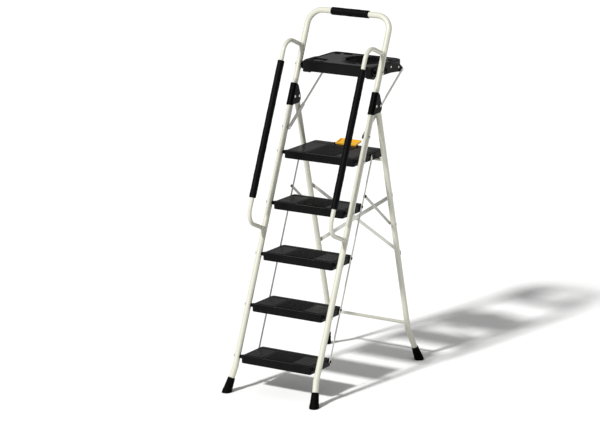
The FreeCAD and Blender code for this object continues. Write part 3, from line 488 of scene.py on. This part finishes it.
class LADDER_OT_tray_details(bpy.types.Operator):
    """Adds the tray's rolled rim and the raised rings round its holes"""
    bl_idname = "ladder.tray_details"
    bl_label = "Tray details"

    def execute(self, context):
        pin = FOOT + RISE * TRAY_PIN_ALONG
        low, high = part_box("tray")
        level, y = pin[2] + 0.024, pin[1]
        outer = rounded_loop((-0.184, low[1] + 0.013), (0.184, high[1] - 0.013), 0.008, 0.024)
        parts = [edging(outer, level, 0.0034, 0.0026),
                 edging(ring_loop(0.052, y + 0.150, 0.0965), level, 0.0040, 0.0028),
                 edging(ring_loop(0.052, y + 0.150, 0.109), level, 0.0026, 0.0020),
                 edging(ring_loop(-0.150, y + 0.236, 0.0165, 40), level, 0.0020, 0.0018),
                 edging(ring_loop(0.165, y + 0.215, 0.0155, 40), level, 0.0020, 0.0018),
                 edging(rounded_loop((-0.121, y + 0.233), (-0.069, y + 0.265), 0.014, 0.014),
                        level, 0.002, 0.0018),
                 edging(rounded_loop((-0.175, y - 0.001), (-0.101, y + 0.069), 0.011, 0.011),
                        level, 0.0024, 0.002)]
        points, faces = join_parts(parts)
        new_piece("tray_rims", points, faces, material_of("tray_plastic"), "tray_body")
        return {"FINISHED"}


class LADDER_OT_grips(bpy.types.Operator):
    """Replaces the plain sleeves with soft-ended foam sleeves on both handrails and the top bar"""
    bl_idname = "ladder.grips"
    bl_label = "Foam grips"

    def sleeve(self, name, node, base, axis, length, radius, body):
        """A sleeve whose ends roll over: the radius falls along a quarter circle near each end, and the
        side swells and dips by a fraction of a millimetre along and round it."""
        soft = 0.0035
        roll = np.linspace(0, np.pi / 2, 7)
        along = np.concatenate([soft * (1 - np.cos(roll)), np.linspace(soft, length - soft, 180)[1:-1],
                                length - soft * (1 - np.cos(roll[::-1]))])
        across = np.concatenate([radius - soft + soft * np.sin(roll), np.full(178, radius),
                                 radius - soft + soft * np.sin(roll[::-1])])
        profile = [(0.0, 0.0)] + list(zip(along, across)) + [(length, 0.0)]

        def wave(distance, turn):
            slow = 0.00022 * np.sin(distance * 61 + 1.3 * np.sin(turn))
            return slow + 0.00016 * np.sin(distance * 143 + 2 * turn)
        points, faces = turned(profile, base, axis, 48, wave)
        piece = new_piece(name, points, faces, material_of("black_foam"), body)
        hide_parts(node)

    def execute(self, context):
        for name, side in SIDES:
            low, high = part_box("handrail_grip_" + name)
            radius = 0.017
            drop = radius * abs(RISE[1])
            bottom, top = low[2] + drop, high[2] - drop
            middle = np.array([side * RAIL_HALF, (low[1] + high[1]) / 2, (low[2] + high[2]) / 2])
            length = (top - bottom) / RISE[2]
            self.sleeve("foam_grip_" + name, "handrail_grip_" + name, middle - RISE * length / 2, RISE,
                        length, radius, "front")
        low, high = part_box("top_grip")
        middle = np.array([0, (low[1] + high[1]) / 2, (low[2] + high[2]) / 2])
        self.sleeve("foam_grip_top", "top_grip", middle - np.array([0.106, 0, 0]), (1, 0, 0), 0.212,
                    0.0195, "front")
        return {"FINISHED"}


class LADDER_OT_rivet_heads(bpy.types.Operator):
    """Adds domed heads to the rivets, pivots and screws"""
    bl_idname = "ladder.rivet_heads"
    bl_label = "Rivet heads"

    def execute(self, context):
        front = []
        along = [PIVOT["step_%d_tilt" % number] for number in range(1, 6)]
        along += [PIVOT["tray_fold"], FOOT + RISE * TRAY_PIN_ALONG]
        for _, side in SIDES:
            for point in along:
                base = np.array([side * (RAIL_HALF + RAIL_RADIUS + 0.0024), point[1], point[2]])
                front.append(dome(base, (side, 0, 0), 0.0066, 0.0022))
            for point, size in ((PIVOT["rear_fold"], 0.0062), (FOOT + RISE * HINGE_PIN_ALONG, 0.0058)):
                front.append(dome((side * 0.2512, point[1], point[2]), (side, 0, 0), size, 0.0020))
                front.append(dome((side * 0.2122, point[1], point[2]), (-side, 0, 0), size, 0.0006))
        points, faces = join_parts(front)
        new_piece("front_rivet_heads", points, faces, material_of("zinc"), "front")
        rear = []
        for _, side in SIDES:
            point = PIVOT["link_pivot_left"]
            rear.append(dome((side * 0.2472, point[1], point[2]), (side, 0, 0), 0.0054, 0.002))
        points, faces = join_parts(rear)
        new_piece("rear_rivet_heads", points, faces, material_of("zinc"), "rear")
        return {"FINISHED"}


class LADDER_OT_boot_rings(bpy.types.Operator):
    """Adds the moulded rings round each rubber boot"""
    bl_idname = "ladder.boot_rings"
    bl_label = "Boot rings"

    def execute(self, context):
        for body, slant, bend, reach, tube, origin, fall in (
                ("front", math.atan2(18, 128), 0.128, 0.11513, 0.015, FOOT, -RISE),
                ("rear", math.atan2(44, 175), 1.243, 0.16086, 0.014, PIVOT["rear_fold"], LEG_FALL)):
            parts = []
            for _, side in SIDES:
                axis = fall * math.cos(slant) + np.array([side * math.sin(slant), 0, 0])
                along = bend if body == "rear" else -bend
                knee = origin + fall * along + np.array([side * RAIL_HALF, 0, 0])
                for share in (0.047, 0.024, 0.018):
                    width = tube + 0.003 + 0.003 * (0.056 - share) / 0.042
                    parts.append(bead(knee + axis * (reach - share), axis, width, 0.0010))
            points, faces = join_parts(parts)
            new_piece(body + "_boot_rings", points, faces, material_of("black_rubber"), body)
        return {"FINISHED"}


class LADDER_OT_welds(bpy.types.Operator):
    """Adds the weld beads where the crossbars meet the rear legs"""
    bl_idname = "ladder.welds"
    bl_label = "Weld beads"

    def execute(self, context):
        parts = []
        for node in ("upper_crossbar", "lower_crossbar"):
            low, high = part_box(node)
            for _, side in SIDES:
                centre = np.array([side * 0.2178, (low[1] + high[1]) / 2, (low[2] + high[2]) / 2])
                parts.append(bead(centre, (1, 0, 0), 0.0084, 0.0017))
        points, faces = join_parts(parts)
        new_piece("rear_welds", points, faces, material_of("ivory_tube"), "rear")
        return {"FINISHED"}


class LADDER_OT_stage(bpy.types.Operator):
    """Sets the pale floor, the soft studio light and the camera"""
    bl_idname = "ladder.stage"
    bl_label = "Stage"

    def execute(self, context):
        look = context.scene.ladder_stage
        turn, rise = look.azimuth, look.elevation
        away = Vector((math.sin(turn) * math.cos(rise), -math.cos(turn) * math.cos(rise), math.sin(rise)))
        data = bpy.data.cameras.new("camera")
        data.lens, data.sensor_width, data.clip_end = look.lens, 36.0, 100.0
        camera = bpy.data.objects.new("camera", data)
        camera.location = Vector(look.aim) + away * look.distance
        camera.rotation_euler = away.to_track_quat("Z", "Y").to_euler()
        context.scene.collection.objects.link(camera)
        context.scene.camera = camera

        points = np.array([(-40, -40, 0), (40, -40, 0), (40, 40, 0), (-40, 40, 0)], float)
        mesh = bpy.data.meshes.new("floor")
        mesh.from_pydata(points.tolist(), [], [(0, 1, 2, 3)])
        floor = bpy.data.objects.new("floor", mesh)
        floor.location.z = -0.0006
        context.scene.collection.objects.link(floor)
        pale = bpy.data.materials.new("floor_pale")
        pale.use_nodes = True
        pale.node_tree.nodes["Principled BSDF"].inputs["Base Color"].default_value = (0.95, 0.95, 0.945, 1)
        pale.node_tree.nodes["Principled BSDF"].inputs["Roughness"].default_value = 0.9
        pale.node_tree.nodes["Principled BSDF"].inputs["Specular IOR Level"].default_value = 0.1
        mesh.materials.append(pale)

        world = bpy.data.worlds.new("studio") if context.scene.world is None else context.scene.world
        context.scene.world = world
        world.use_nodes = True
        world.node_tree.nodes["Background"].inputs["Color"].default_value = (1, 1, 1, 1)
        world.node_tree.nodes["Background"].inputs["Strength"].default_value = 0.36
        context.scene.view_settings.view_transform = "Standard"

        sun = bpy.data.lights.new("key", "SUN")
        sun.energy, sun.angle = 3.7, math.radians(5)
        key = bpy.data.objects.new("key", sun)
        key.rotation_euler = Vector((-0.336, -1.889, 1.783)).to_track_quat("Z", "Y").to_euler()
        context.scene.collection.objects.link(key)
        return {"FINISHED"}


class LADDER_PT_panel(bpy.types.Panel):
    bl_idname = "LADDER_PT_panel"
    bl_label = "Step ladder"
    bl_space_type = "VIEW_3D"
    bl_region_type = "UI"
    bl_category = "Ladder"

    def draw(self, context):
        for group in (context.scene.ladder_treads, context.scene.ladder_colours, context.scene.ladder_stage):
            box = self.layout.box()
            for name in group.__annotations__:
                box.prop(group, name)
        for operator in OPERATORS:
            self.layout.operator(operator.bl_idname)


GROUPS = (TreadSizes, FinishColours, StageSizes)
OPERATORS = (LADDER_OT_finishes, LADDER_OT_treads, LADDER_OT_tray_details, LADDER_OT_grips,
             LADDER_OT_rivet_heads, LADDER_OT_boot_rings, LADDER_OT_welds, LADDER_OT_stage)
CLASSES = GROUPS + OPERATORS + (LADDER_PT_panel,)


def register():
    for item in CLASSES:
        bpy.utils.register_class(item)
    bpy.types.Scene.ladder_treads = bpy.props.PointerProperty(type=TreadSizes)
    bpy.types.Scene.ladder_colours = bpy.props.PointerProperty(type=FinishColours)
    bpy.types.Scene.ladder_stage = bpy.props.PointerProperty(type=StageSizes)


def unregister():
    for name in ("ladder_treads", "ladder_colours", "ladder_stage"):
        delattr(bpy.types.Scene, name)
    for item in reversed(CLASSES):
        bpy.utils.unregister_class(item)


def main():
    register()
    bpy.ops.ladder.finishes()
    bpy.ops.ladder.treads()
    bpy.ops.ladder.tray_details()
    bpy.ops.ladder.grips()
    bpy.ops.ladder.rivet_heads()
    bpy.ops.ladder.boot_rings()
    bpy.ops.ladder.welds()
    bpy.ops.ladder.stage()
    bpy.context.view_layer.update()


if __name__ == "__main__":
    main()
